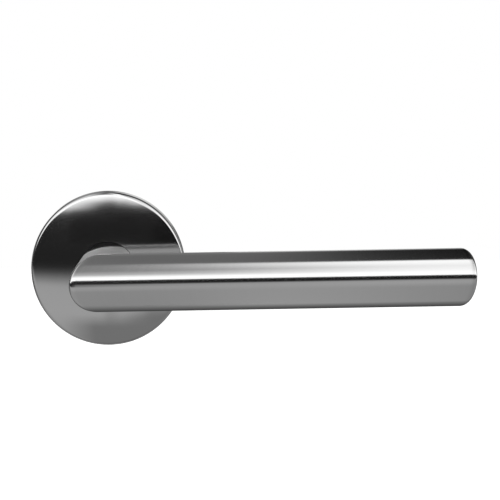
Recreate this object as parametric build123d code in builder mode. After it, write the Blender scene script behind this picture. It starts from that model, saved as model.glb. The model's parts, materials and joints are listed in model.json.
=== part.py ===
from build123d import *
import os
from math import acos, asin, cos, degrees, hypot, pi, radians, sin, sqrt

# Door lever handle: a mitred round-tube lever on a sprung, domed round rose.
# The origin is on the spindle axis at the door face.
# The lever points along +X, +Z is up, and +Y goes into the door.
# A depth is a distance out from the door face, so a piece at depth d lies at y = -d.

# Driving dimensions: the lever
tube_diameter = 19.0
tube_wall = 1.5
grip_axis_depth = 53.0
grip_tip_reach = 123.15
end_cut_angle = 24.0
end_cut_turn = 10.0
end_edge_radius = 1.2
end_cap_thickness = 3.0
end_cap_spigot = 4.0

# Driving dimensions: the rose cover
rose_diameter = 53.0
rose_wall = 1.2
rose_dome_rise = 2.6
rose_edge_radius = 1.8
cover_ring_wall = 0.5
cover_ring_lip = 0.8
cover_ring_lip_thickness = 0.6
cover_ring_setback = 0.1

# Driving dimensions: hub, spindle and grub screw
hub_end_depth = 0.2
hub_beyond_grub = 17.0
socket_beyond_grub = 12.0
spindle_square = 8.0
spindle_reach = 60.0
spindle_end_gap = 0.5
spindle_chamfer = 0.8
grub_diameter = 5.0
grub_length = 5.0
grub_from_rose = 4.5
grub_hex = 2.5
grub_hex_depth = 2.4
grub_tip_chamfer = 0.6

# Driving dimensions: hub retention behind the base plate
groove_land = 0.5
groove_depth = 0.38
circlip_thickness = 1.0
circlip_band = 1.6
circlip_mouth = 4.0
circlip_ear_diameter = 2.2
circlip_eye_diameter = 1.0
curved_washer_thickness = 0.3
curved_washer_bow = 0.4
thrust_washer_thickness = 0.8

# Driving dimensions: base plate and bearing
plate_thickness = 2.4
bush_wall = 1.4
bush_length = 2.2
bush_flange_thickness = 0.8
boss_wall = 2.0
recess_wall = 1.4
lug_spacing = 38.0
lug_diameter = 7.0
lug_length = 10.0
lug_shoulder = 0.3
lug_seat_depth = 0.8
lug_spigot_diameter = 5.5
lug_thread_diameter = 3.3
screw_spacing = 37.0
screw_diameter = 4.0
screw_head_diameter = 7.6
screw_reach = 20.0
screw_point = 5.0
screw_head_setback = 0.1
screw_cross_width = 1.1
screw_cross_span = 4.0
screw_cross_depth = 1.2

# Driving dimensions: return spring, driver and stops
lever_travel = 45.0
spring_wire = 1.1
spring_pitch = 1.55
spring_full_turns = 2
spring_leg = 9.2
spring_groove_floor = 1.5
spring_fixed_angle = 200.0
driver_thickness = 0.8
driver_tab_width = 5.0
driver_tab_offset = 1.4
driver_tab_floor_gap = 0.6
driver_rest_angle = 114.0
stop_pin_diameter = 3.0
stop_pin_stand = 2.1
stop_pin_floor = 0.4

# Driving dimensions: clip ring
clip_wire = 1.0
clip_mouth = 24.0
clip_groove_width = 1.2
clip_grip_gap = 0.15

# Clearances
press_clearance = 0.02
running_clearance = 0.06
slip_clearance = 0.1
stack_clearance = 0.05
free_clearance = 0.3
spring_clearance = 0.6
cut_margin = 1.0

# Lever radii
tube_radius = tube_diameter / 2
tube_bore_radius = tube_radius - tube_wall
hub_radius = tube_bore_radius - press_clearance
groove_radius = hub_radius - groove_depth
socket_square = spindle_square + 2 * stack_clearance
grub_radius = grub_diameter / 2

# Rose radii, from the journal outwards
bush_bore_radius = hub_radius + running_clearance
bush_radius = bush_bore_radius + bush_wall
boss_bore_radius = bush_radius + press_clearance
boss_radius = boss_bore_radius + boss_wall
recess_radius = boss_radius - recess_wall
washer_radius = recess_radius - slip_clearance
spring_radius = boss_radius + spring_clearance + spring_wire / 2
spring_outer_radius = spring_radius + spring_wire / 2
driver_radius = spring_outer_radius + spring_clearance
tab_inner_radius = driver_radius + driver_tab_offset
tab_outer_radius = tab_inner_radius + driver_thickness
tab_radius = (tab_inner_radius + tab_outer_radius) / 2
rose_radius = rose_diameter / 2
cover_bore_radius = rose_radius - rose_wall
plate_radius = cover_bore_radius - free_clearance
dome_radius = (rose_radius**2 + rose_dome_rise**2) / (2 * rose_dome_rise)
dome_bore_radius = dome_radius - rose_wall

# Depths, from the door face outwards
circlip_depth = hub_end_depth + groove_land
curved_washer_depth = circlip_depth + circlip_thickness + stack_clearance
curved_washer_height = curved_washer_thickness + curved_washer_bow
thrust_washer_depth = curved_washer_depth + curved_washer_height + stack_clearance
recess_depth = thrust_washer_depth + thrust_washer_thickness + stack_clearance
boss_depth = recess_depth + bush_length
bush_front_depth = boss_depth + bush_flange_thickness
neck_end_depth = bush_front_depth + slip_clearance
driver_depth = neck_end_depth + slip_clearance
driver_front_depth = driver_depth + driver_thickness


def sagitta(curve_radius, half_width):
    """How far an arc falls back from its crown at this half width."""
    return curve_radius - sqrt(curve_radius**2 - half_width**2)


cover_crown_depth = driver_front_depth + free_clearance + sagitta(dome_bore_radius, tab_outer_radius)
rose_height = cover_crown_depth + rose_wall
grub_depth = rose_height + grub_from_rose
socket_depth = grub_depth + socket_beyond_grub
hub_front_depth = grub_depth + hub_beyond_grub


def outward(depth, angle=0):
    """A plane parallel to the door at this depth, facing out, its x axis turned up from +X by the angle."""
    turn = radians(angle)
    return Plane(origin=(0, -depth, 0), x_dir=(cos(turn), 0, sin(turn)), z_dir=(0, -1, 0))


# The half section of turned pieces: x is the radius and y the depth
half_section = Plane(origin=(0, 0, 0), x_dir=(1, 0, 0), z_dir=(0, 0, -1))

# The planes of the mitre and of the slanted end, each facing along the grip towards its tip
end_slant = radians(end_cut_angle)
end_turn = radians(end_cut_turn)
end_normal = Vector(cos(end_slant), sin(end_slant) * cos(end_turn), -sin(end_slant) * sin(end_turn))
end_corner = Vector(
    grip_tip_reach, -grip_axis_depth - tube_radius * cos(end_turn), tube_radius * sin(end_turn)
)
mitre_plane = Plane(origin=(0, -grip_axis_depth, 0), z_dir=(1, -1, 0))
end_plane = Plane(origin=end_corner, z_dir=end_normal)
cap_seat_plane = Plane(origin=end_corner - end_normal * end_cap_thickness, z_dir=end_normal)
cap_tail_plane = Plane(
    origin=end_corner - end_normal * (end_cap_thickness + end_cap_spigot), z_dir=end_normal
)
grip_rough_length = grip_tip_reach + 2 * tube_radius + cut_margin
grip_start = Plane.YZ.offset(-tube_radius - cut_margin)
grip_axis = (-grip_axis_depth, 0)


# Lever: grip tube, mitred at the neck
with BuildPart() as grip_tube:
    with BuildSketch(grip_start):
        with Locations(grip_axis):
            Circle(tube_radius)
            Circle(tube_bore_radius, mode=Mode.SUBTRACT)
    extrude(amount=grip_rough_length)
    split(bisect_by=mitre_plane, keep=Keep.TOP)
    split(bisect_by=cap_seat_plane, keep=Keep.BOTTOM)

# Lever: neck tube, from the mitre back into the rose, with the grub screw's hole below
grub_plane = Plane(origin=(0, -grub_depth, 0), x_dir=(1, 0, 0), z_dir=(0, 0, -1))
with BuildPart() as neck_tube:
    with BuildSketch(outward(neck_end_depth)):
        Circle(tube_radius)
        Circle(tube_bore_radius, mode=Mode.SUBTRACT)
    extrude(amount=grip_axis_depth + tube_radius + cut_margin - neck_end_depth)
    split(bisect_by=mitre_plane, keep=Keep.BOTTOM)
    with BuildSketch(grub_plane):
        Circle(grub_radius + slip_clearance)
    extrude(amount=tube_radius + cut_margin, mode=Mode.SUBTRACT)

# Lever: end cap, a slanted disc with a rounded edge and a spigot in the tube
with BuildPart() as end_disc:
    with BuildSketch(grip_start):
        with Locations(grip_axis):
            Circle(tube_radius)
    extrude(amount=grip_rough_length)
    split(bisect_by=end_plane, keep=Keep.BOTTOM)
    split(bisect_by=cap_seat_plane, keep=Keep.TOP)
    end_face = end_disc.faces().sort_by(Axis((0, 0, 0), end_normal))[-1]
    fillet(end_face.edges(), radius=end_edge_radius)

with BuildPart() as grip_end_cap:
    with BuildSketch(grip_start):
        with Locations(grip_axis):
            Circle(hub_radius)
    extrude(amount=grip_rough_length)
    split(bisect_by=cap_seat_plane, keep=Keep.BOTTOM)
    split(bisect_by=cap_tail_plane, keep=Keep.TOP)
    add(end_disc.part)

# Lever: solid hub in the neck, with the journal, the circlip's groove and the square socket
with BuildPart() as lever_hub:
    with BuildSketch(outward(hub_end_depth)):
        Circle(hub_radius)
    extrude(amount=hub_front_depth - hub_end_depth)
    with BuildSketch(outward(circlip_depth)):
        Circle(tube_radius)
        Circle(groove_radius, mode=Mode.SUBTRACT)
    extrude(amount=circlip_thickness + stack_clearance, mode=Mode.SUBTRACT)
    with BuildSketch(outward(hub_end_depth)):
        Rectangle(socket_square, socket_square)
    extrude(amount=socket_depth - hub_end_depth, mode=Mode.SUBTRACT)
    with BuildSketch(grub_plane):
        Circle(grub_radius + press_clearance)
    extrude(amount=tube_radius + cut_margin, mode=Mode.SUBTRACT)

# Lever: square spindle, from the socket through the door to the latch
with BuildPart() as spindle:
    with BuildSketch(outward(-spindle_reach)):
        Rectangle(spindle_square, spindle_square)
    extrude(amount=spindle_reach + socket_depth - spindle_end_gap)
    spindle_ends = spindle.faces().filter_by(Axis.Y)
    chamfer(spindle_ends.edges(), length=spindle_chamfer)

# Lever: grub screw, from below the neck up to the spindle's flat
with BuildPart() as grub_screw:
    with BuildSketch(grub_plane.offset(spindle_square / 2)):
        Circle(grub_radius)
    extrude(amount=grub_length)
    grub_tip = grub_screw.faces().sort_by(Axis.Z)[-1]
    chamfer(grub_tip.edges(), length=grub_tip_chamfer)
    with BuildSketch(grub_plane.offset(spindle_square / 2 + grub_length)):
        RegularPolygon(radius=grub_hex / 2, side_count=6, major_radius=False)
    extrude(amount=-grub_hex_depth, mode=Mode.SUBTRACT)

# Lever: driver ring on the neck's end, with a tab bent back past the spring
with BuildPart() as spring_driver:
    with BuildSketch(outward(driver_depth)):
        Circle(driver_radius)
        Circle(tube_radius + press_clearance, mode=Mode.SUBTRACT)
    extrude(amount=driver_thickness)
    tab_arm_start = driver_radius - driver_tab_offset
    with BuildSketch(outward(driver_depth, driver_rest_angle)):
        with Locations((tab_arm_start, 0)):
            Rectangle(tab_outer_radius - tab_arm_start, driver_tab_width, align=(Align.MIN, Align.CENTER))
    extrude(amount=driver_thickness)
    tab_floor_depth = plate_thickness + driver_tab_floor_gap
    with BuildSketch(outward(tab_floor_depth, driver_rest_angle)):
        with Locations((tab_inner_radius, 0)):
            Rectangle(driver_thickness, driver_tab_width, align=(Align.MIN, Align.CENTER))
    extrude(amount=driver_depth - tab_floor_depth)

# Lever: circlip in the hub's groove, with two eared ends beside its mouth, which faces down
circlip_inner_radius = groove_radius + press_clearance
circlip_outer_radius = circlip_inner_radius + circlip_band
ear_radius = circlip_ear_diameter / 2
ear_side = circlip_mouth / 2 + ear_radius
ear_reach = sqrt((washer_radius - ear_radius) ** 2 - ear_side**2)
with BuildPart() as circlip:
    with BuildSketch(outward(circlip_depth, -90)):
        Circle(circlip_outer_radius)
        with Locations((ear_reach, ear_side), (ear_reach, -ear_side)):
            Circle(ear_radius)
            Circle(circlip_eye_diameter / 2, mode=Mode.SUBTRACT)
        Circle(circlip_inner_radius, mode=Mode.SUBTRACT)
        Rectangle(washer_radius, circlip_mouth, align=(Align.MIN, Align.CENTER), mode=Mode.SUBTRACT)
    extrude(amount=circlip_thickness)

# Lever: bowed spring washer, cut as a ring from a strip bent about the Z axis
bow_radius = (washer_radius**2 + curved_washer_bow**2) / (2 * curved_washer_bow)
washer_bore_radius = hub_radius + slip_clearance
with BuildPart() as curved_washer:
    with BuildSketch(half_section):
        with BuildLine():
            bow_crown = (0, curved_washer_depth + curved_washer_bow)
            bow_left = (-washer_radius, curved_washer_depth)
            bow_right = (washer_radius, curved_washer_depth)
            bow_back = ThreePointArc(bow_left, bow_crown, bow_right)
            bow_front = ThreePointArc(
                (-washer_radius, curved_washer_depth + curved_washer_thickness),
                (0, curved_washer_depth + curved_washer_height),
                (washer_radius, curved_washer_depth + curved_washer_thickness),
            )
            Line(bow_back @ 0, bow_front @ 0)
            Line(bow_back @ 1, bow_front @ 1)
        make_face()
    extrude(amount=washer_radius, both=True)
    with BuildSketch(outward(curved_washer_depth)):
        Circle(washer_radius)
        Circle(washer_bore_radius, mode=Mode.SUBTRACT)
    extrude(amount=curved_washer_height, mode=Mode.INTERSECT)

# Lever: flat washer between the bowed washer and the base plate
with BuildPart() as thrust_washer:
    with BuildSketch(outward(thrust_washer_depth)):
        Circle(washer_radius)
        Circle(washer_bore_radius, mode=Mode.SUBTRACT)
    extrude(amount=thrust_washer_thickness)

# Rose: the stop pins' places, one each side of the driver's tab and its travel
tab_half_angle = degrees(asin(driver_tab_width / 2 / tab_radius))
pin_half_angle = degrees(asin(stop_pin_diameter / 2 / tab_radius))
stop_gap_angle = degrees(stack_clearance / tab_radius)
stop_half_angle = tab_half_angle + pin_half_angle + stop_gap_angle
rest_stop_angle = driver_rest_angle + stop_half_angle
travel_stop_angle = driver_rest_angle - lever_travel - stop_half_angle

# Rose: the return spring's coil winds clockwise from its fixed leg at the plate to its free leg at the tab
free_leg_angle = degrees(acos(spring_radius / (tab_inner_radius - spring_wire)))
leg_gap_angle = degrees((spring_wire / 2 + free_clearance) / tab_inner_radius)
spring_free_angle = driver_rest_angle - tab_half_angle - leg_gap_angle + free_leg_angle
spring_turns = spring_full_turns + ((spring_fixed_angle - spring_free_angle) % 360) / 360
spring_coil_height = spring_turns * spring_pitch
spring_leg_drop = spring_leg * spring_pitch / hypot(spring_pitch, 2 * pi * spring_radius)
spring_start_depth = spring_groove_floor + stack_clearance + spring_wire / 2 + spring_leg_drop

# Rose: base plate with its bearing boss, spring groove, fixing holes and clip groove
clip_groove_depth = (plate_thickness - clip_groove_width) / 2
clip_radius = cover_bore_radius - clip_grip_gap - clip_wire / 2
clip_groove_radius = clip_radius - clip_wire / 2 - stack_clearance
lug_places = [(-lug_spacing / 2, 0), (lug_spacing / 2, 0)]
lug_radius = lug_diameter / 2
lug_seat_radius = lug_radius - lug_shoulder
lug_seat_edge = lug_shoulder + slip_clearance - press_clearance
screw_places = [(0, screw_spacing / 2), (0, -screw_spacing / 2)]
screw_radius = screw_diameter / 2
screw_head_radius = screw_head_diameter / 2
spring_groove_outer_radius = spring_outer_radius + free_clearance
slot_width = spring_wire + 2 * slip_clearance
with BuildPart() as base_plate:
    with BuildSketch(outward(0)):
        Circle(plate_radius)
    extrude(amount=plate_thickness)
    with BuildSketch(outward(spring_groove_floor)):
        Circle(spring_groove_outer_radius)
    extrude(amount=plate_thickness - spring_groove_floor, mode=Mode.SUBTRACT)
    with BuildSketch(outward(spring_groove_floor, spring_fixed_angle)):
        with Locations((spring_radius, 0)):
            Rectangle(
                slot_width, spring_leg + slip_clearance, align=(Align.CENTER, Align.MIN)
            )
    extrude(amount=plate_thickness - spring_groove_floor, mode=Mode.SUBTRACT)
    with BuildSketch(outward(0)):
        Circle(boss_radius)
    extrude(amount=boss_depth)
    with BuildSketch(outward(0)):
        Circle(boss_bore_radius)
    extrude(amount=boss_depth, mode=Mode.SUBTRACT)
    with BuildSketch(outward(0)):
        Circle(recess_radius)
    extrude(amount=recess_depth, mode=Mode.SUBTRACT)
    with BuildSketch(outward(0)):
        with Locations(*lug_places):
            Circle(lug_seat_radius + press_clearance)
    extrude(amount=lug_seat_depth, mode=Mode.SUBTRACT)
    with BuildSketch(outward(0)):
        with Locations(*lug_places):
            Circle(lug_radius + slip_clearance)
    extrude(amount=lug_seat_edge, taper=45, mode=Mode.SUBTRACT)
    with BuildSketch(outward(0)):
        with Locations(*lug_places):
            Circle(lug_spigot_diameter / 2 + press_clearance)
    extrude(amount=plate_thickness, mode=Mode.SUBTRACT)
    with Locations(outward(plate_thickness)):
        with Locations(*screw_places):
            CounterSinkHole(
                radius=screw_radius + slip_clearance,
                counter_sink_radius=screw_head_radius + slip_clearance,
                depth=plate_thickness,
                counter_sink_angle=90,
            )
    with BuildSketch(outward(stop_pin_floor)):
        with PolarLocations(tab_radius, 1, start_angle=rest_stop_angle):
            Circle(stop_pin_diameter / 2 + press_clearance)
        with PolarLocations(tab_radius, 1, start_angle=travel_stop_angle):
            Circle(stop_pin_diameter / 2 + press_clearance)
    extrude(amount=plate_thickness - stop_pin_floor, mode=Mode.SUBTRACT)
    with BuildSketch(outward(clip_groove_depth)):
        Circle(plate_radius)
        Circle(clip_groove_radius, mode=Mode.SUBTRACT)
    extrude(amount=clip_groove_width, mode=Mode.SUBTRACT)

# Rose: flanged bearing bush in the base plate's boss
with BuildPart() as bearing_bush:
    with BuildSketch(outward(recess_depth)):
        Circle(bush_radius)
    extrude(amount=bush_length)
    with BuildSketch(outward(boss_depth)):
        Circle(boss_radius)
    extrude(amount=bush_flange_thickness)
    with BuildSketch(outward(recess_depth)):
        Circle(bush_bore_radius)
    extrude(amount=bush_length + bush_flange_thickness, mode=Mode.SUBTRACT)

# Rose: return spring, a left-hand coil with a straight leg running off each end
spring_plane = outward(spring_start_depth, spring_fixed_angle)
coil = spring_plane * Helix(spring_pitch, spring_coil_height, spring_radius, lefthand=True)
with BuildPart() as return_spring:
    with BuildSketch(Plane(origin=coil @ 0, z_dir=coil % 0)):
        Circle(spring_wire / 2)
    sweep(path=coil, is_frenet=True)
    with BuildSketch(Plane(origin=coil @ 0, z_dir=-(coil % 0))):
        Circle(spring_wire / 2)
    extrude(amount=spring_leg)
    with BuildSketch(Plane(origin=coil @ 1, z_dir=coil % 1)):
        Circle(spring_wire / 2)
    extrude(amount=spring_leg)

# Rose: the coil's least gap to itself, measured on points at least half a turn apart
coil_steps = 36 * (spring_full_turns + 1)
coil_points = [coil @ (step / coil_steps) for step in range(coil_steps + 1)]
half_turn_steps = int(coil_steps / spring_turns / 2)
coil_gaps = [
    (coil_points[step] - other).length - spring_wire
    for step in range(coil_steps)
    for other in coil_points[step + half_turn_steps :]
]
print(f"return_spring least gap to itself {min(coil_gaps):.2f} mm")

# Rose: stop pins, pressed into the base plate
def stop_pin(angle):
    """A plain pin on the tab's circle at this angle."""
    with BuildPart() as pin:
        with BuildSketch(outward(stop_pin_floor, angle)):
            with Locations((tab_radius, 0)):
                Circle(stop_pin_diameter / 2)
        extrude(amount=plate_thickness - stop_pin_floor + stop_pin_stand)
    return pin.part


# Rose: support lugs, riveted in the base plate and threaded for the through bolts
def support_lug(place):
    """A threaded stud, shouldered at the door face, with a stepped spigot in the base plate."""
    with BuildPart() as lug:
        with BuildSketch(outward(-lug_length)):
            with Locations(place):
                Circle(lug_radius)
        extrude(amount=lug_length)
        with BuildSketch(outward(0)):
            with Locations(place):
                Circle(lug_seat_radius)
        extrude(amount=lug_seat_depth)
        with BuildSketch(outward(lug_seat_depth)):
            with Locations(place):
                Circle(lug_spigot_diameter / 2)
        extrude(amount=plate_thickness - lug_seat_depth)
        with BuildSketch(outward(-lug_length)):
            with Locations(place):
                Circle(lug_thread_diameter / 2)
        extrude(amount=lug_length + plate_thickness, mode=Mode.SUBTRACT)
    return lug.part


# Rose: wood screws, countersunk in the base plate and pointed, with a cross recess
def wood_screw(place):
    """A countersunk screw turned about its own axis, with its point in the door."""
    across, up = place
    head_depth = plate_thickness - screw_head_setback
    screw_section = Plane(origin=(across, 0, up), x_dir=(1, 0, 0), z_dir=(0, 0, -1))
    screw_axis = Axis((across, 0, up), (0, 1, 0))
    with BuildPart() as screw:
        with BuildSketch(screw_section):
            with BuildLine():
                Polyline(
                    (0, head_depth),
                    (screw_head_radius, head_depth),
                    (screw_radius, head_depth - screw_head_radius + screw_radius),
                    (screw_radius, screw_point - screw_reach),
                    (0, -screw_reach),
                    close=True,
                )
            make_face()
        revolve(axis=screw_axis)
        with BuildSketch(outward(head_depth)):
            with Locations(place):
                Rectangle(screw_cross_span, screw_cross_width)
                Rectangle(screw_cross_width, screw_cross_span)
        extrude(amount=-screw_cross_depth, mode=Mode.SUBTRACT)
    return screw.part


# Rose: split wire ring that grips the cover
with BuildPart() as cover_clip_ring:
    with BuildSketch(half_section):
        with Locations((clip_radius, clip_groove_depth + clip_groove_width / 2)):
            Circle(clip_wire / 2)
    revolve(axis=Axis.Y, revolution_arc=360 - clip_mouth)


# Cover: a domed shell, its inside concentric with its outside
def rose_blank(radius, crown_depth, curve_radius, edge_radius):
    """A solid disc with a domed front and a rounded edge."""
    wall_depth = crown_depth - sagitta(curve_radius, radius)
    half_way = (radius / 2, crown_depth - sagitta(curve_radius, radius / 2))
    with BuildPart() as blank:
        with BuildSketch(half_section) as profile:
            with BuildLine():
                Polyline((0, crown_depth), (0, 0), (radius, 0), (radius, wall_depth))
                ThreePointArc((radius, wall_depth), half_way, (0, crown_depth))
            make_face()
            rim_corner = profile.vertices().group_by(Axis.X)[-1].sort_by(Axis.Y)[-1]
            fillet(rim_corner, radius=edge_radius)
        revolve(axis=Axis.Y)
    return blank.part


ring_bore_radius = tube_radius + running_clearance
ring_radius = ring_bore_radius + cover_ring_wall
ring_lip_radius = ring_radius + cover_ring_lip
with BuildPart() as rose_cover:
    add(rose_blank(rose_radius, rose_height, dome_radius, rose_edge_radius))
    add(
        rose_blank(cover_bore_radius, cover_crown_depth, dome_bore_radius, rose_edge_radius - rose_wall),
        mode=Mode.SUBTRACT,
    )
    with BuildSketch(outward(0)):
        Circle(ring_radius + press_clearance)
    extrude(amount=rose_height + cut_margin, mode=Mode.SUBTRACT)

# Cover: guide ring around the neck, with a lip behind the cover
ring_lip_depth = cover_crown_depth - sagitta(dome_bore_radius, ring_lip_radius) - press_clearance
ring_front_depth = rose_height - sagitta(dome_radius, ring_radius) - cover_ring_setback
with BuildPart() as cover_ring:
    with BuildSketch(outward(ring_lip_depth - cover_ring_lip_thickness)):
        Circle(ring_lip_radius)
    extrude(amount=cover_ring_lip_thickness)
    with BuildSketch(outward(ring_lip_depth)):
        Circle(ring_radius)
    extrude(amount=ring_front_depth - ring_lip_depth)
    with BuildSketch(outward(0)):
        Circle(ring_bore_radius)
    extrude(amount=rose_height, mode=Mode.SUBTRACT)

# One file per piece
pieces = {
    "grip_tube": grip_tube.part,
    "neck_tube": neck_tube.part,
    "grip_end_cap": grip_end_cap.part,
    "lever_hub": lever_hub.part,
    "spindle": spindle.part,
    "grub_screw": grub_screw.part,
    "spring_driver": spring_driver.part,
    "circlip": circlip.part,
    "curved_washer": curved_washer.part,
    "thrust_washer": thrust_washer.part,
    "base_plate": base_plate.part,
    "bearing_bush": bearing_bush.part,
    "return_spring": return_spring.part,
    "rest_stop_pin": stop_pin(rest_stop_angle),
    "travel_stop_pin": stop_pin(travel_stop_angle),
    "support_lug_left": support_lug(lug_places[0]),
    "support_lug_right": support_lug(lug_places[1]),
    "wood_screw_upper": wood_screw(screw_places[0]),
    "wood_screw_lower": wood_screw(screw_places[1]),
    "cover_clip_ring": cover_clip_ring.part,
    "rose_cover": rose_cover.part,
    "cover_ring": cover_ring.part,
}
os.makedirs("parts", exist_ok=True)
for name, piece in pieces.items():
    piece.label = name
    export_step(piece, f"parts/{name}.step")
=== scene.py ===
import json
from math import acos, atan2, cos, pi, radians, sin, sqrt, tan

import bpy
from mathutils import Matrix, Vector


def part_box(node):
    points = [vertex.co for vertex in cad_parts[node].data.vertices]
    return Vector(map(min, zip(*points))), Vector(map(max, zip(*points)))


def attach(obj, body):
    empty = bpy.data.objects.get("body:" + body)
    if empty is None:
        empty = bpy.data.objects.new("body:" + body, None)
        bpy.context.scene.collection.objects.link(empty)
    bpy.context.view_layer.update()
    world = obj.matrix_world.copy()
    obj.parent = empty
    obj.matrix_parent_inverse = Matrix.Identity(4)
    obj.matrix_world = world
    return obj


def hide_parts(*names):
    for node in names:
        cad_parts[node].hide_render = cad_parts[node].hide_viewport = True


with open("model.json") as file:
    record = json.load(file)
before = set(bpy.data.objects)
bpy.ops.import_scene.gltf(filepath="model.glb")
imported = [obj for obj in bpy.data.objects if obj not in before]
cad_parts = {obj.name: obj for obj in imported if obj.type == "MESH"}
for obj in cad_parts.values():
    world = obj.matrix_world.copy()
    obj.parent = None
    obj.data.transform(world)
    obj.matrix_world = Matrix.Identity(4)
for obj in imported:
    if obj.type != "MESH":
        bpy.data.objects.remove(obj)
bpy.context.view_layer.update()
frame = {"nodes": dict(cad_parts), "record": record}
nodes = frame["nodes"]

# All sizes are in metres, in the CAD frame: +X along the grip, +Z up, +Y into the door.
# A depth is a distance out from the door face, so a point at depth d lies at y = -d.
MM = 0.001

# The lever, from the frame and from its own finish
grip_low, grip_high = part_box("grip_tube")
neck_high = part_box("neck_tube")[1]
hub_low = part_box("lever_hub")[0]
grub_low, grub_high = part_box("grub_screw")
tube_radius = (grip_high[2] - grip_low[2]) / 2
tube_wall = 1.5 * MM
grip_depth = -(grip_low[1] + grip_high[1]) / 2
neck_end_depth = -neck_high[1]
hub_gap = 0.5 * MM
bore_end_depth = -hub_low[1] + hub_gap
end_cut = radians(24)
end_turn = radians(10)
end_edge = 1.2 * MM
end_tip = 123.15 * MM
mitre_edge = 0.9 * MM
grub_hole = 2.6 * MM

# The rose cover, from the frame and from its own finish
cover_low, cover_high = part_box("rose_cover")
ring_low, ring_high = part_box("cover_ring")
rose_radius = (cover_high[0] - cover_low[0]) / 2
rose_wall = 1.2 * MM
rose_edge = 1.25 * MM
dome_rise = 2.6 * MM
dome_radius = (rose_radius**2 + dome_rise**2) / (2 * dome_rise)
ring_lip = 0.8 * MM
ring_fit = 0.02 * MM
bore_radius = (ring_high[0] - ring_low[0]) / 2 - ring_lip + ring_fit
hole_gap = 0.12 * MM
hole_lip = 0.08 * MM

# Mesh fineness
around_steps = 192
hole_steps = 48
edge_steps = 10
grip_steps = 96
neck_steps = 36
foot_steps = 6
dome_steps = 32
sharp_angle = radians(35)

# The name of the map that places the brush lines, in metres along (u) and around (v) a mesh
BRUSH_MAP = "brush"


# Mesh tools

def new_object(name, vertices, faces, uvs=None):
    """A smooth-shaded mesh object; uvs gives one (u, v) in metres for each corner of each face."""
    mesh = bpy.data.meshes.new(name)
    mesh.from_pydata(vertices, [], faces)
    mesh.polygons.foreach_set("use_smooth", [True] * len(mesh.polygons))
    if uvs:
        layer = mesh.uv_layers.new(name=BRUSH_MAP)
        layer.data.foreach_set("uv", [value for corner in uvs for value in corner])
    mesh.set_sharp_from_angle(angle=sharp_angle)
    mesh.update()
    obj = bpy.data.objects.new(name, mesh)
    bpy.context.scene.collection.objects.link(obj)
    return obj


def ring_mesh(name, rings, along, girth, close_ends=(False, False)):
    """A tube through rings of points; along is each ring's distance along it and girth its length around."""
    count = len(rings[0])
    vertices = [point for ring in rings for point in ring]
    faces, uvs = [], []
    for row in range(len(rings) - 1):
        here, there = row * count, (row + 1) * count
        near, far = along[row], along[row + 1]
        for step in range(count):
            after = (step + 1) % count
            faces.append((here + step, here + after, there + after, there + step))
            left, right = girth * step / count, girth * (step + 1) / count
            uvs += [(near, left), (near, right), (far, right), (far, left)]
    for closed, row in zip(close_ends, (0, len(rings) - 1)):
        if closed:
            base = row * count
            face = [base + step for step in range(count)]
            faces.append(face if row else face[::-1])
            uvs += [(vertices[base + step][0], vertices[base + step][2]) for step in range(count)]
    return new_object(name, vertices, faces, uvs)


def path_lengths(points):
    """The distance along a run of points to each of them."""
    total, lengths = 0.0, [0.0]
    for before, after in zip(points, points[1:]):
        total += (Vector(after) - Vector(before)).length
        lengths.append(total)
    return lengths


def around(steps):
    """Evenly spaced angles round a circle."""
    return [2 * pi * step / steps for step in range(steps)]


def arc(centre, radius, start, end, steps):
    """Points on an arc in a half section, from one angle to another, both included."""
    turns = [start + (end - start) * step / steps for step in range(steps + 1)]
    return [(centre[0] + radius * cos(turn), centre[1] + radius * sin(turn)) for turn in turns]


def cut_away(obj, cutter):
    """Takes a cutter's shape out of a mesh for good, and removes the cutter."""
    cut = obj.modifiers.new("cut", "BOOLEAN")
    cut.object = cutter
    cut.operation = "DIFFERENCE"
    cut.solver = "EXACT"
    whole = obj.data
    depsgraph = bpy.context.evaluated_depsgraph_get()
    obj.data = bpy.data.meshes.new_from_object(obj.evaluated_get(depsgraph))
    obj.modifiers.clear()
    obj.data.set_sharp_from_angle(angle=sharp_angle)
    bpy.data.meshes.remove(whole)
    bpy.data.objects.remove(cutter)


# Lever: one welded and polished tube, from the rose round the mitre to the slanted end

def lever_station(kind, t, turn):
    """A point of the lever's skin at station t of a run, at a turn round the tube (0 faces the front)."""
    out, up = tube_radius * cos(turn), tube_radius * sin(turn)
    if kind == "bore":
        scale = 1 - tube_wall / tube_radius
        return (-out * scale, -bore_end_depth - (neck_end_depth - bore_end_depth) * t, up * scale)
    if kind == "neck":
        depth = neck_end_depth + (grip_depth + out - mitre_edge - neck_end_depth) * t
        return (-out, -depth, up)
    bend = t * pi / 2
    if kind == "mitre":
        depth = grip_depth + out - mitre_edge + mitre_edge * sin(bend)
        return (-out + mitre_edge - mitre_edge * cos(bend), -depth, up)
    lean = tube_radius - out * cos(end_turn) - up * sin(end_turn)
    if kind == "grip":
        start = mitre_edge - out
        end = end_tip - lean * tan(end_cut) - end_edge / cos(end_cut)
        return (start + (end - start) * t, -grip_depth - out, up)
    scale = 1 - end_edge * (1 - cos(bend)) / tube_radius
    back = tube_radius - (tube_radius - lean) * scale
    setback = end_edge * (1 - sin(bend)) / cos(end_cut)
    return (end_tip - back * tan(end_cut) - setback, -grip_depth - out * scale, up * scale)


def cut_grub_hole(lever):
    """Cuts the grub screw's hole through the wall below the neck."""
    depth = -(grub_low[1] + grub_high[1]) / 2
    rings = [
        [(grub_hole * cos(turn), -depth + grub_hole * sin(turn), z) for turn in around(hole_steps)]
        for z in (-tube_radius - tube_wall, -tube_radius + 2 * tube_wall)
    ]
    cut_away(lever, ring_mesh("grub_cutter", rings, (0, 3 * tube_wall), 2 * pi * grub_hole, (True, True)))


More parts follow.
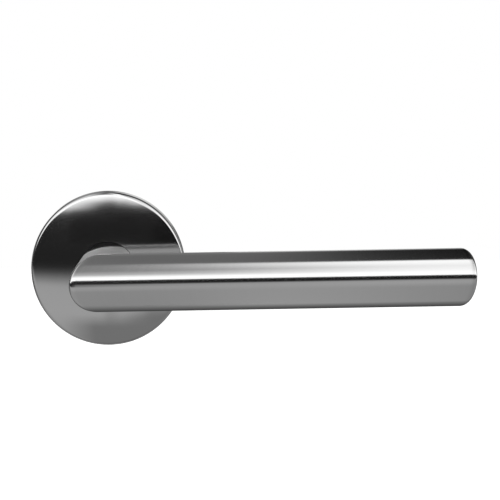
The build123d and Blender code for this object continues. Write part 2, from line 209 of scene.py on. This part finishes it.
def make_lever():
    """The lever's skin: out of the bore, along the neck, round the mitre and along the grip to its end."""
    runs = [
        ("bore", 1), ("neck", neck_steps), ("mitre", edge_steps), ("grip", grip_steps), ("end", edge_steps),
    ]
    stations = [
        (kind, step / steps)
        for kind, steps in runs
        for step in range(0 if kind in ("bore", "neck") else 1, steps + 1)
    ]
    rings = [[lever_station(kind, t, turn) for turn in around(around_steps)] for kind, t in stations]
    top_line = [ring[around_steps // 4] for ring in rings]
    lever = ring_mesh("lever_tube", rings, path_lengths(top_line), 2 * pi * tube_radius, (True, True))
    cut_grub_hole(lever)
    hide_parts("grip_tube", "neck_tube", "grip_end_cap")
    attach(lever, "lever")
    return lever


# Rose cover: a turned shell with a rounded rim, and a thin lip round its hole

def sagitta(radius, half_width):
    """How far an arc falls back from its crown at this half width."""
    return radius - sqrt(radius**2 - half_width**2)


def cover_side(centre_depth, radius, edge, curve, hole):
    """One side of the shell as (radius, depth) points, from its foot over the rim to the hole."""
    edge_depth = centre_depth + sqrt((curve - edge) ** 2 - (radius - edge) ** 2)
    meet = atan2(edge_depth - centre_depth, radius - edge)
    foot = [(radius, edge_depth * step / foot_steps) for step in range(foot_steps)]
    rim = arc((radius - edge, edge_depth), edge, 0, meet, edge_steps)
    dome = arc((0.0, centre_depth), curve, meet, acos(hole / curve), dome_steps)
    return foot + rim + dome[1:]


def cover_profile():
    """The shell's half section: up the outside, round the lip and back down the inside."""
    crown = -cover_low[1] + sagitta(dome_radius, bore_radius)
    centre_depth = crown - dome_radius
    hole_radius = tube_radius + hole_gap
    outer = cover_side(centre_depth, rose_radius, rose_edge, dome_radius, hole_radius)
    inner = cover_side(
        centre_depth, rose_radius - rose_wall, rose_edge - rose_wall, dome_radius - rose_wall, bore_radius
    )
    lip = [
        (radius, crown - hole_lip - sagitta(dome_radius, radius))
        for radius in (hole_radius, bore_radius)
    ]
    return outer + lip + inner[::-1]


def make_cover():
    """The turned shell, closed on itself."""
    profile = cover_profile()
    rings = []
    for radius, depth in profile:
        rings.append([(radius * cos(turn), -depth, radius * sin(turn)) for turn in around(around_steps)])
    rings.append(rings[0])
    lengths = path_lengths([(radius, depth, 0) for radius, depth in profile + profile[:1]])
    cover = ring_mesh("rose_shell", rings, lengths, 2 * pi * rose_radius)
    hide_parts("rose_cover")
    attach(cover, "cover")
    return cover


# Wood screws: a countersunk head with a cross recess, and a thread that runs out at the point

screw_radius = 2.0 * MM
screw_core = 1.35 * MM
screw_pitch = 1.8 * MM
screw_point = 5.0 * MM
screw_plain = 3.0 * MM
screw_tip = 0.08 * MM
cross_span = 4.0 * MM
cross_width = 1.1 * MM
cross_depth = 1.2 * MM
thread_half_width = 0.24  # of the pitch
thread_steps = 32
rings_per_turn = 14


def thread_radius(behind, turn, reach):
    """The screw's radius at a distance behind its head's face, with the ridge of the thread."""
    taper = min(1.0, (reach - behind) / screw_point)
    phase = (turn / (2 * pi) - behind / screw_pitch) % 1.0
    ridge = max(0.0, 1 - abs(phase - 0.5) / thread_half_width)
    start = min(1.0, (behind - screw_plain) / screw_pitch)
    return taper * (screw_core + (screw_radius - screw_core) * ridge * start)


def cross_outline():
    """The recess's outline as (u, v) points, one arm after the other."""
    span, width = cross_span / 2, cross_width / 2
    arm = [(span, -width), (span, width), (width, width)]
    outline = []
    for _ in range(4):
        outline += arm
        arm = [(-v, u) for u, v in arm]
    return outline


def make_screw(name, node):
    """A wood screw in the place of a plain one."""
    low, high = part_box(node)
    head_radius = (high[0] - low[0]) / 2
    across, up = (low[0] + high[0]) / 2, (low[2] + high[2]) / 2
    reach = high[1] - low[1]
    threaded = reach - screw_tip - screw_plain
    turns = around(thread_steps)
    head = [(0.0, head_radius), (head_radius - screw_radius, screw_radius), (screw_plain, screw_radius)]
    sections = [(behind, [radius] * thread_steps) for behind, radius in head]
    rows = int(threaded * rings_per_turn / screw_pitch)
    for row in range(1, rows + 1):
        behind = screw_plain + threaded * row / rows
        sections.append((behind, [thread_radius(behind, turn, reach) for turn in turns]))
    rings = [
        [
            (across + radius * cos(turn), low[1] + behind, up - radius * sin(turn))
            for radius, turn in zip(radii, turns)
        ]
        for behind, radii in sections
    ]
    lengths = [behind for behind, radii in sections]
    screw = ring_mesh(name, rings, lengths, 2 * pi * screw_radius, (True, True))
    cross_rings = [
        [(across + u, y, up - v) for u, v in cross_outline()]
        for y in (low[1] - cross_depth, low[1] + cross_depth)
    ]
    cross_girth = 4 * cross_span
    cross = ring_mesh(name + "_cross", cross_rings, (0, 2 * cross_depth), cross_girth, (True, True))
    cut_away(screw, cross)
    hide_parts(node)
    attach(screw, "rose_base")
    return screw


# Materials

class Nodes:
    """A short way to build a node tree: an input takes a value, or an output to be linked from."""

    # Places of a mix node's two inputs and its output, which share their names between the kinds
    mix_places = {"FLOAT": (2, 3, 0), "RGBA": (6, 7, 2)}

    def __init__(self, tree):
        self.tree = tree

    def shader(self):
        return self.tree.nodes["Principled BSDF"]

    def feed(self, socket, source):
        if isinstance(source, bpy.types.NodeSocket):
            self.tree.links.new(source, socket)
        else:
            socket.default_value = source

    def add(self, kind, **inputs):
        node = self.tree.nodes.new("ShaderNode" + kind)
        for name, source in inputs.items():
            self.feed(node.inputs[name.replace("_", " ")], source)
        return node

    def feed_in_order(self, node, *sources):
        for socket, source in zip(node.inputs, sources):
            self.feed(socket, source)
        return node.outputs[0]

    def math(self, operation, *sources):
        node = self.add("Math")
        node.operation = operation
        return self.feed_in_order(node, *sources)

    def mix(self, kind, share, first, second):
        node = self.add("Mix")
        node.data_type = kind
        first_place, second_place, result_place = self.mix_places[kind]
        self.feed(node.inputs[0], share)
        self.feed(node.inputs[first_place], first)
        self.feed(node.inputs[second_place], second)
        return node.outputs[result_place]

    def mix_shaders(self, share, first, second):
        return self.feed_in_order(self.add("MixShader"), share, first, second)

    def add_shaders(self, first, second):
        return self.feed_in_order(self.add("AddShader"), first, second)

    def show(self, light, output="Material Output"):
        """Makes a shader the tree's surface."""
        self.feed(self.tree.nodes[output].inputs["Surface"], light)

    def share(self, value, start, end):
        """0 to 1 as a value goes from start to end."""
        return self.add("MapRange", Value=value, From_Min=start, From_Max=end).outputs["Result"]

    def brush_place(self):
        """Where a spot lies on the brush map."""
        node = self.add("UVMap")
        node.uv_map = BRUSH_MAP
        return node.outputs["UV"]


def new_material(name):
    """A new material and its nodes."""
    material = bpy.data.materials.new(name)
    material.use_nodes = True
    return material, Nodes(material.node_tree)


def add_grain(made, noise, colour, tints, roughness, bump, relief):
    """Varies roughness, colour and relief by one noise; tints and roughness hold the values at 0 and at 1."""
    inputs = made.shader().inputs
    grain = noise.outputs["Fac"]
    rough = made.add("MapRange", Value=grain, To_Min=roughness[0], To_Max=roughness[1])
    made.feed(inputs["Roughness"], rough.outputs["Result"])
    dark, light = [(*[part * tint for part in colour], 1) for tint in tints]
    made.feed(inputs["Base Color"], made.mix("RGBA", grain, dark, light))
    raised = made.add("Bump", Strength=bump, Distance=relief, Height=grain)
    made.feed(inputs["Normal"], raised.outputs["Normal"])


def brushed_steel(name, colour, roughness, anisotropy, scale, bump):
    """Satin steel with fine lines across the brush map's u direction; scale is (u, v) per metre."""
    material, made = new_material(name)
    shader = made.shader()
    shader.inputs["Metallic"].default_value = 1.0
    shader.inputs["Anisotropic"].default_value = anisotropy
    stretch = made.add("Mapping", Vector=made.brush_place(), Scale=(*scale, 1))
    lines = made.add("TexNoise", Vector=stretch.outputs["Vector"], Scale=1.0, Detail=4.0, Roughness=0.6)
    add_grain(made, lines, colour, tints=(0.96, 1.04), roughness=roughness, bump=bump, relief=0.02 * MM)
    tangent = made.add("Tangent")
    tangent.direction_type = "UV_MAP"
    tangent.uv_map = BRUSH_MAP
    made.feed(shader.inputs["Tangent"], tangent.outputs["Tangent"])
    return material


def plain_metal(name, colour, roughness, scale, bump):
    """A plated or drawn metal with fine uneven gloss."""
    material, made = new_material(name)
    made.shader().inputs["Metallic"].default_value = 1.0
    where = made.add("TexCoord").outputs["Object"]
    cloud = made.add("TexNoise", Vector=where, Scale=scale, Detail=5.0, Roughness=0.6)
    add_grain(made, cloud, colour, tints=(0.88, 1.08), roughness=roughness, bump=bump, relief=0.05 * MM)
    return material


def polymer(name, colour, roughness, scale, bump):
    """A moulded dark polymer with a fine matt grain."""
    material, made = new_material(name)
    made.shader().inputs["Specular IOR Level"].default_value = 0.2
    where = made.add("TexCoord").outputs["Object"]
    grain = made.add("TexNoise", Vector=where, Scale=scale, Detail=3.0)
    add_grain(made, grain, colour, tints=(0.85, 1.15), roughness=roughness, bump=bump, relief=0.05 * MM)
    return material


# The neck's finish: the bright crown begins at the depth crown_start on the neck's top line and is full at
# crown_end; crown_fall says how fast it narrows down the sides, and crown_lean how far it leans to the left
dull_roughness = 0.46
dull_blend = 0.4 * MM
bright_roughness = 0.07
crown_fall = 6.2
crown_lean = 1.7
crown_start = 35.5 * MM
crown_end = 25.5 * MM


def finish_neck(material):
    """Leaves the steel dull behind the mitre, out of the wheel's reach, and bright on top by the rose."""
    made = Nodes(material.node_tree)
    roughness = made.shader().inputs["Roughness"]
    where = made.add("SeparateXYZ", Vector=made.add("TexCoord").outputs["Object"])
    x, y, z = [where.outputs[axis] for axis in "XYZ"]
    behind_mitre = made.share(made.math("SUBTRACT", x, y), grip_depth + dull_blend, grip_depth - dull_blend)
    crown = made.math("MULTIPLY_ADD", x, -crown_lean, made.math("MULTIPLY_ADD", z, crown_fall, y))
    top = crown_fall * tube_radius
    on_crown = made.share(crown, top - crown_start, top - crown_end)
    brushed = roughness.links[0].from_socket
    dull = made.mix("FLOAT", behind_mitre, brushed, dull_roughness)
    made.feed(roughness, made.mix("FLOAT", on_crown, dull, bright_roughness))


def dress(obj, material):
    """Gives an object one material in all its slots."""
    if not obj.material_slots:
        obj.data.materials.append(material)
    for slot in obj.material_slots:
        slot.material = material


steel_colour = (0.60, 0.60, 0.60)
zinc_colour = (0.62, 0.63, 0.65)
wire_colour = (0.40, 0.40, 0.42)
oxide_colour = (0.055, 0.055, 0.06)
nylon_colour = (0.026, 0.026, 0.028)
lever_steel = brushed_steel(
    "lever_steel", steel_colour, roughness=(0.10, 0.14), anisotropy=0.5, scale=(5000, 60), bump=0.03
)
finish_neck(lever_steel)
rose_steel = brushed_steel(
    "rose_steel", steel_colour, roughness=(0.075, 0.095), anisotropy=0.2, scale=(4000, 40), bump=0.015
)
plated = plain_metal("plated_steel", zinc_colour, roughness=(0.28, 0.44), scale=900.0, bump=0.15)
drawn = plain_metal("spring_steel", wire_colour, roughness=(0.24, 0.36), scale=1400.0, bump=0.10)
black = plain_metal("black_oxide", oxide_colour, roughness=(0.37, 0.53), scale=1600.0, bump=0.20)
nylon = polymer("dark_polymer", nylon_colour, roughness=(0.42, 0.62), scale=2500.0, bump=0.3)

dress(make_lever(), lever_steel)
dress(make_cover(), rose_steel)
dress(make_screw("threaded_screw_upper", "wood_screw_upper"), plated)
dress(make_screw("threaded_screw_lower", "wood_screw_lower"), plated)
finishes = {"plated_steel": plated, "spring_steel": drawn, "dark_steel": black, "polymer": nylon}
for part in frame["record"]["subparts"]:
    if part["material_slot"] in finishes:
        dress(nodes[part["node"]], finishes[part["material_slot"]])


# Studio: a white world, a pale floor, two soft lamps, and a tent and some cards that only gloss sees

WHITE = (1, 1, 1, 1)
world_light = 0.55
world_white = 1.0
floor_depth = 0.6
floor_reach = 6.0
floor_colour = (0.8, 0.8, 0.8, 1)
floor_roughness = 0.9
floor_glow = 0.75


def seen_directly(made):
    """A value of 1 for rays from the camera, from gloss and through glass, as one output."""
    path = made.add("LightPath").outputs
    first = made.math("MAXIMUM", path["Is Camera Ray"], path["Is Glossy Ray"])
    return made.math("MAXIMUM", first, path["Is Transmission Ray"])


def gloss_only(obj):
    """Hides an object from all but reflections."""
    obj.visible_camera = False
    obj.visible_diffuse = False
    obj.visible_transmission = False
    obj.visible_shadow = False


def make_world():
    """White where it is seen, and a softer light on the part."""
    world = bpy.data.worlds.new("studio_world")
    bpy.context.scene.world = world
    world.use_nodes = True
    made = Nodes(world.node_tree)
    soft = world.node_tree.nodes["Background"]
    soft.inputs["Color"].default_value = WHITE
    soft.inputs["Strength"].default_value = world_light
    white = made.add("Background", Color=WHITE, Strength=world_white)
    made.show(made.mix_shaders(seen_directly(made), soft.outputs[0], white.outputs[0]), "World Output")


def make_floor():
    """A pale floor that glows to white where it is seen."""
    corners = [(-1, -1), (1, -1), (1, 1), (-1, 1)]
    corners = [(floor_reach * x, floor_reach * y, -floor_depth) for x, y in corners]
    floor = new_object("floor", corners, [(0, 1, 2, 3)])
    material, made = new_material("floor_white")
    shader = made.shader()
    shader.inputs["Base Color"].default_value = floor_colour
    shader.inputs["Roughness"].default_value = floor_roughness
    glow = made.add("Emission", Color=WHITE, Strength=made.math("MULTIPLY", seen_directly(made), floor_glow))
    made.show(made.add_shaders(shader.outputs["BSDF"], glow.outputs["Emission"]))
    dress(floor, material)
    floor.visible_glossy = False


# The tent's glow by the angle round the grip's axis: 0 is level in front, 90 overhead, 180 level behind.
# A strip light hangs in front, above a dark gap for the camera, and a bank of softer light hangs overhead.
# Each band runs round the tent at one place along it, and the tent blends from band to band.
tent_bands = [
    {"x": -20.0, "underside": -94.0, "table": 0.25, "front": 0.25, "horizon": -8.3, "gap": 0.02,
     "strip_edge": 14.8, "strip": 0.08, "shoulder": 0.08, "valley": 0.08,
     "bank": 0.08, "bank_end": 80.0, "back": 0.06, "wall": 0.20},
    {"x": -9.0, "underside": -94.0, "table": 0.43, "front": 0.53, "horizon": -8.3, "gap": 0.02,
     "strip_edge": 13.8, "strip": 1.9, "shoulder": 1.40, "valley": 1.10,
     "bank": 0.90, "bank_end": 80.0, "back": 0.06, "wall": 0.30},
    {"x": -3.0, "underside": -94.0, "table": 0.43, "front": 0.53, "horizon": -8.3, "gap": 0.02,
     "strip_edge": 13.8, "strip": 1.9, "shoulder": 1.30, "valley": 1.10,
     "bank": 0.90, "bank_end": 100.0, "back": 0.40, "wall": 0.40},
    {"x": -0.96, "underside": -94.0, "table": 0.43, "front": 0.53, "horizon": -8.3, "gap": 0.02,
     "strip_edge": 16.0, "strip": 1.9, "shoulder": 0.60, "valley": 0.22,
     "bank": 0.20, "bank_end": 86.0, "back": 0.28, "wall": 0.30},
    {"x": -0.57, "underside": -94.0, "table": 0.35, "front": 0.47, "horizon": 0.4, "gap": 0.02,
     "strip_edge": 16.2, "strip": 1.8, "shoulder": 0.66, "valley": 0.32,
     "bank": 0.24, "bank_end": 86.0, "back": 0.19, "wall": 0.14},
    {"x": -0.24, "underside": -98.0, "table": 0.40, "front": 0.49, "horizon": 0.0, "gap": 0.02,
     "strip_edge": 16.2, "strip": 1.8, "shoulder": 0.76, "valley": 0.34,
     "bank": 0.52, "bank_end": 84.0, "back": 0.22, "wall": 0.44},
    {"x": 0.08, "underside": -102.0, "table": 0.53, "front": 0.52, "horizon": -0.3, "gap": 0.01,
     "strip_edge": 15.9, "strip": 1.9, "shoulder": 1.05, "valley": 0.66,
     "bank": 1.12, "bank_end": 81.0, "back": 0.20, "wall": 0.75},
    {"x": 0.47, "underside": -102.0, "table": 0.46, "front": 0.55, "horizon": -0.5, "gap": 0.01,
     "strip_edge": 15.8, "strip": 1.9, "shoulder": 1.54, "valley": 1.36,
     "bank": 1.80, "bank_end": 79.0, "back": 0.035, "wall": 0.70},
    {"x": 1.20, "underside": -102.0, "table": 0.35, "front": 0.53, "horizon": -1.4, "gap": 0.01,
     "strip_edge": 15.0, "strip": 1.9, "shoulder": 1.75, "valley": 1.65,
     "bank": 1.75, "bank_end": 79.0, "back": 0.0, "wall": 0.30},
    {"x": 1.65, "underside": -102.0, "table": 0.32, "front": 0.36, "horizon": -1.5, "gap": 0.01,
     "strip_edge": 14.7, "strip": 1.4, "shoulder": 0.80, "valley": 0.65,
     "bank": 0.50, "bank_end": 80.0, "back": 0.04, "wall": 0.60},
    {"x": 4.10, "underside": -102.0, "table": 0.36, "front": 0.42, "horizon": -3.0, "gap": 0.01,
     "strip_edge": 15.0, "strip": 1.9, "shoulder": 1.40, "valley": 1.20,
     "bank": 0.90, "bank_end": 84.0, "back": 0.05, "wall": 0.60},
]
tent_radius = 10.0
tent_half_length = 400.0
tent_steps = 96

# What all bands share: the dark below the part as (angle, glow), angles in degrees, widths on either side of
# a band's own horizon, strip edge and bank end, and what the glow of table, front, strip and gap becomes at
# one end
dark_stops = [(-180, 0.05), (-150, 0.07), (-128, 0.165)]
table_start, table_end = -112, -30
strip_end, shoulder_at, valley_at, bank_start = 27, 37, 53, 70
back_end, wall_start, wall_end = 150, 168, 180
front_width, horizon_width = 12, 3
gap_start, gap_full = 1.8, 4
strip_blend, bank_blend = 0.8, 3
table_fade, front_fade, strip_fade = 0.70, 0.97, 0.92
gap_start_more, gap_end_more = 0.025, 0.01


def band_stops(band):
    """A band's glow as (angle, glow) stops, from below the part round the front and overhead to the back."""
    table, front, gap, strip, bank, back, wall = [
        band[key] for key in ("table", "front", "gap", "strip", "bank", "back", "wall")
    ]
    horizon, strip_edge, bank_end = band["horizon"], band["strip_edge"], band["bank_end"]
    return dark_stops + [
        (table_start, table_fade * table),
        (band["underside"], table),
        (table_end, table),
        (horizon - front_width, front),
        (horizon - horizon_width, front_fade * front),
        (horizon + gap_start, gap + gap_start_more),
        (horizon + gap_full, gap),
        (strip_edge - strip_blend, gap + gap_end_more),
        (strip_edge + strip_blend, strip),
        (strip_end, strip_fade * strip),
        (shoulder_at, band["shoulder"]),
        (valley_at, band["valley"]),
        (bank_start, bank),
        (bank_end - bank_blend, bank),
        (bank_end, (bank + back) / 2),
        (bank_end + bank_blend, back),
        (back_end, back),
        (wall_start, wall),
        (wall_end, wall),
    ]


def band_light(made, place, band):
    """One band's light, by a ramp over the place round the tent."""
    stops = band_stops(band)
    node = made.add("ValToRGB", Fac=place)
    ramp = node.color_ramp
    most = max(glow for angle, glow in stops)
    for index, (angle, glow) in enumerate(stops):
        position = (angle + 180) / 360
        if index < 2:
            stop = ramp.elements[index]
            stop.position = position
        else:
            stop = ramp.elements.new(position)
        stop.color = (glow / most, glow / most, glow / most, 1)
    return made.add("Emission", Color=node.outputs["Color"], Strength=most).outputs[0]


def make_tent():
    """A long round tent that only gloss sees."""
    rings = [
        [
            (x, -grip_depth / 2 + tent_radius * cos(turn), tent_radius * sin(turn))
            for turn in around(tent_steps)
        ]
        for x in (-tent_half_length, tent_half_length)
    ]
    tent = ring_mesh("studio_tent", rings, (0, 1), 1)
    material, made = new_material("tent_glow")
    where = made.add("SeparateXYZ", Vector=made.add("NewGeometry").outputs["Position"]).outputs
    ahead = made.math("MULTIPLY_ADD", where["Y"], -1.0, -grip_depth)
    place = made.share(made.math("ARCTAN2", where["Z"], ahead), -pi, pi)
    light = band_light(made, place, tent_bands[0])
    for before, band in zip(tent_bands, tent_bands[1:]):
        along = made.share(where["X"], before["x"], band["x"])
        light = made.mix_shaders(along, light, band_light(made, place, band))
    made.show(light)
    dress(tent, material)
    gloss_only(tent)


# Small cards that only gloss sees, each with a low and a high edge (y, z), a glow on its rear face alone, and
# edges faded out over some width: two grey ones that the rose's foot and right side reflect, a darker one for
# its lower rim, a black flag that keeps the strip light off the neck, and two close above the grip, which the
# grip mirrors into the rose
cards = [
    {"name": "foot_card", "x": (-0.032, 0.090), "low": (-0.055, -0.300), "high": (-0.055, -0.0325),
     "glow": 0.26, "fades": {"left": 0.020, "high": 0.008}},
    {"name": "side_card", "x": (0.0, 0.090), "low": (-0.056, -0.300), "high": (-0.056, -0.0295),
     "glow": 0.25, "fades": {"left": 0.025, "high": 0.007}},
    {"name": "rim_flag", "x": (-0.080, 0.060), "low": (-0.020, -0.350), "high": (-0.020, -0.036),
     "glow": 0.16, "fades": {"left": 0.020, "high": 0.024}},
    {"name": "neck_flag", "x": (-0.020, 0.022), "low": (-0.030, 0.0105), "high": (-0.030, 0.027),
     "glow": 0.02, "fades": {"left": 0.004, "right": 0.004, "high": 0.008}},
    {"name": "front_grip_card", "x": (0.004, 0.046), "low": (-0.0550, 0.0096), "high": (-0.0472, 0.0096),
     "glow": 0.24, "fades": {"right": 0.006}},
    {"name": "back_grip_card", "x": (0.004, 0.048), "low": (-0.0470, 0.0090), "high": (-0.0405, 0.0090),
     "glow": 0.72, "fades": {"right": 0.006}},
]


def make_card(card):
    """One flat card, clear from its front and along its faded edges."""
    left, right = card["x"]
    low, high = card["low"], card["high"]
    length, height = right - left, (Vector(high) - Vector(low)).length
    corners = [(left, *low), (right, *low), (right, *high), (left, *high)]
    spread = [(0, 0), (length, 0), (length, height), (0, height)]
    obj = new_object(card["name"], corners, [(0, 1, 2, 3)], spread)
    material, made = new_material(card["name"])
    where = made.add("SeparateXYZ", Vector=made.brush_place()).outputs
    edges = {"left": ("X", 0, 1), "right": ("X", length, -1), "high": ("Y", height, -1)}
    clear = made.add("BsdfTransparent").outputs["BSDF"]
    seen = made.add("Emission", Strength=card["glow"]).outputs[0]
    for edge, width in card["fades"].items():
        axis, start, inward = edges[edge]
        seen = made.mix_shaders(made.share(where[axis], start, start + inward * width), clear, seen)
    rear = made.add("NewGeometry").outputs["Backfacing"]
    made.show(made.mix_shaders(rear, clear, seen))
    dress(obj, material)
    gloss_only(obj)


lamp_aim = Vector((0.04, -0.03, 0.0))


def make_lamp(name, place, size, watts):
    """A square lamp that gloss doesn't see."""
    lamp = bpy.data.lights.new(name, "AREA")
    lamp.shape = "SQUARE"
    lamp.size = size
    lamp.energy = watts
    obj = bpy.data.objects.new(name, lamp)
    bpy.context.scene.collection.objects.link(obj)
    obj.location = place
    obj.rotation_euler = (lamp_aim - Vector(place)).to_track_quat("-Z", "Y").to_euler()
    obj.visible_glossy = False


# Camera at the photograph's viewing angle
camera_aim = Vector((49.26 * MM, -40.0 * MM, 8.80 * MM))
camera_distance = 0.8451
camera_side = radians(0.231)
camera_height = radians(5.374)
camera_roll = radians(-0.990)
camera_lens = 183.48
camera_sensor = 36
camera_near = 0.01


def make_camera():
    """A camera behind its aim, turned to the side, raised and rolled."""
    level = cos(camera_height)
    back = Vector((sin(camera_side) * level, -cos(camera_side) * level, sin(camera_height)))
    right = Vector((cos(camera_side), sin(camera_side), 0))
    up = back.cross(right)
    rolled_right = right * cos(camera_roll) + up * sin(camera_roll)
    rolled_up = up * cos(camera_roll) - right * sin(camera_roll)
    place = camera_aim + back * camera_distance
    data = bpy.data.cameras.new("photo_camera")
    data.lens = camera_lens
    data.sensor_width = camera_sensor
    data.clip_start = camera_near
    camera = bpy.data.objects.new("photo_camera", data)
    bpy.context.scene.collection.objects.link(camera)
    turn = Matrix((rolled_right, rolled_up, back)).transposed()
    camera.matrix_world = Matrix.Translation(place) @ turn.to_4x4()
    bpy.context.scene.camera = camera


make_world()
make_floor()
make_tent()
for card in cards:
    make_card(card)
make_lamp("key_lamp", place=(-0.5, -0.9, 0.9), size=0.8, watts=14)
make_lamp("fill_lamp", place=(0.8, -0.7, 0.5), size=0.8, watts=7)
make_camera()
bpy.context.scene.view_settings.view_transform = "Standard"
